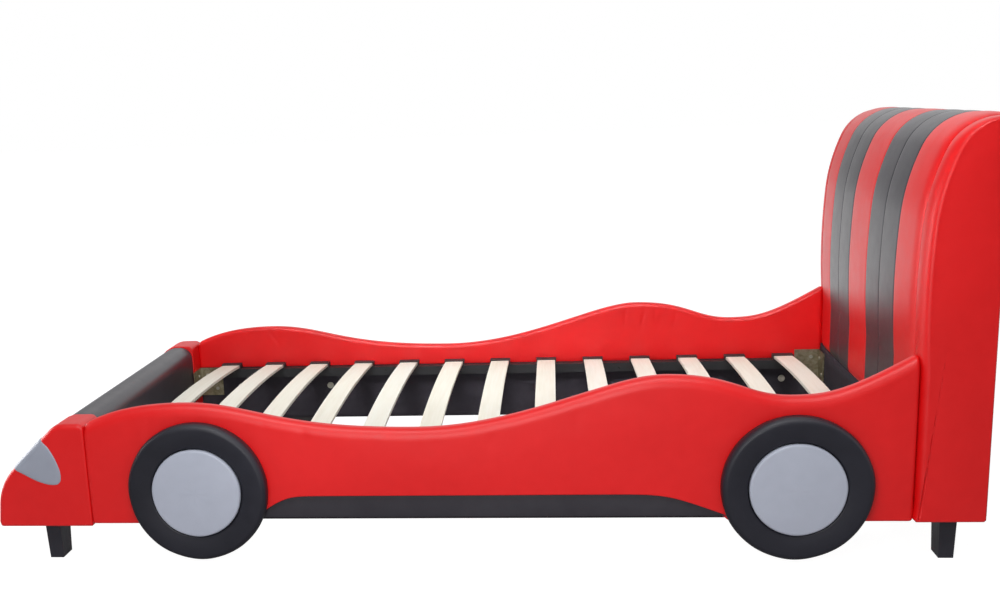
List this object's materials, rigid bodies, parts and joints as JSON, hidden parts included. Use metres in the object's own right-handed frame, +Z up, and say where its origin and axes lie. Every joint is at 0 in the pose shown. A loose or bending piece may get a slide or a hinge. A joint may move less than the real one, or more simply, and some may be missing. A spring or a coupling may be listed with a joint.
{
  "type": "car bed for children",
  "caption": "Upholstered single bed for a child, shaped like a sports car: padded nose, wavy side rails with disc wheels, striped padded headboard and a sprung slat base on legs.",
  "frame": {"origin": "on the floor, at the middle of the bed's outline", "axes": "+X towards the headboard, -X towards the nose, +Y to the car's right side, +Z up"},
  "size_m": [2.3044, 1.062, 0.991],
  "materials": {
    "red_faux_leather": "satin faux leather over foam",
    "charcoal_faux_leather": "satin faux leather over foam",
    "black_faux_leather": "satin faux leather over foam",
    "silver_faux_leather": "matt silver faux leather over foam",
    "black_lining": "plain black lining cloth",
    "plywood": "raw plywood",
    "black_timber": "black painted batten",
    "cap_plastic": "black moulded plastic",
    "birch_slat": "clear bentwood veneer",
    "black_leg": "black satin paint",
    "zinc_steel": "yellow zinc plated",
    "zinc_screws": "zinc plated"
  },
  "bodies": {
    "root": {"bracket_screws": "zinc_screws", "corner_brackets": "zinc_steel", "front_legs": "black_leg", "headboard_back_cover": "black_lining", "headboard_frame": "plywood", "headboard_lining": "black_lining", "headboard_panel_centre": "red_faux_leather", "headboard_panel_left": "red_faux_leather", "headboard_panel_right": "red_faux_leather", "headboard_wing_left": "red_faux_leather", "headboard_wing_right": "red_faux_leather", "headlight_left": "silver_faux_leather", "headlight_right": "silver_faux_leather", "hood_cover": "charcoal_faux_leather", "hubcap_front_left": "silver_faux_leather", "hubcap_front_right": "silver_faux_leather", "hubcap_rear_left": "silver_faux_leather", "hubcap_rear_right": "silver_faux_leather", "ledge_screws": "zinc_screws", "leg_bolts": "zinc_screws", "nose_end_left": "red_faux_leather", "nose_end_right": "red_faux_leather", "nose_frame": "plywood", "rail_board_left": "plywood", "rail_board_right": "plywood", "rail_cover_left": "red_faux_leather", "rail_cover_right": "red_faux_leather", "rail_lining_left": "black_lining", "rail_lining_right": "black_lining", "rear_legs": "black_leg", "sill_left": "charcoal_faux_leather", "sill_right": "charcoal_faux_leather", "slat_01": "birch_slat", "slat_02": "birch_slat", "slat_03": "birch_slat", "slat_04": "birch_slat", "slat_05": "birch_slat", "slat_06": "birch_slat", "slat_07": "birch_slat", "slat_08": "birch_slat", "slat_09": "birch_slat", "slat_10": "birch_slat", "slat_11": "birch_slat", "slat_12": "birch_slat", "slat_13": "birch_slat", "slat_caps": "cap_plastic", "slat_ledge_left": "black_timber", "slat_ledge_right": "black_timber", "stripe_inner_left": "charcoal_faux_leather", "stripe_inner_right": "charcoal_faux_leather", "stripe_outer_left": "charcoal_faux_leather", "stripe_outer_right": "charcoal_faux_leather", "tyre_front_left": "black_faux_leather", "tyre_front_right": "black_faux_leather", "tyre_rear_left": "black_faux_leather", "tyre_rear_right": "black_faux_leather", "wheel_backing_boards": "black_timber", "wheel_bolts": "zinc_screws"}
  },
  "joints": []
}
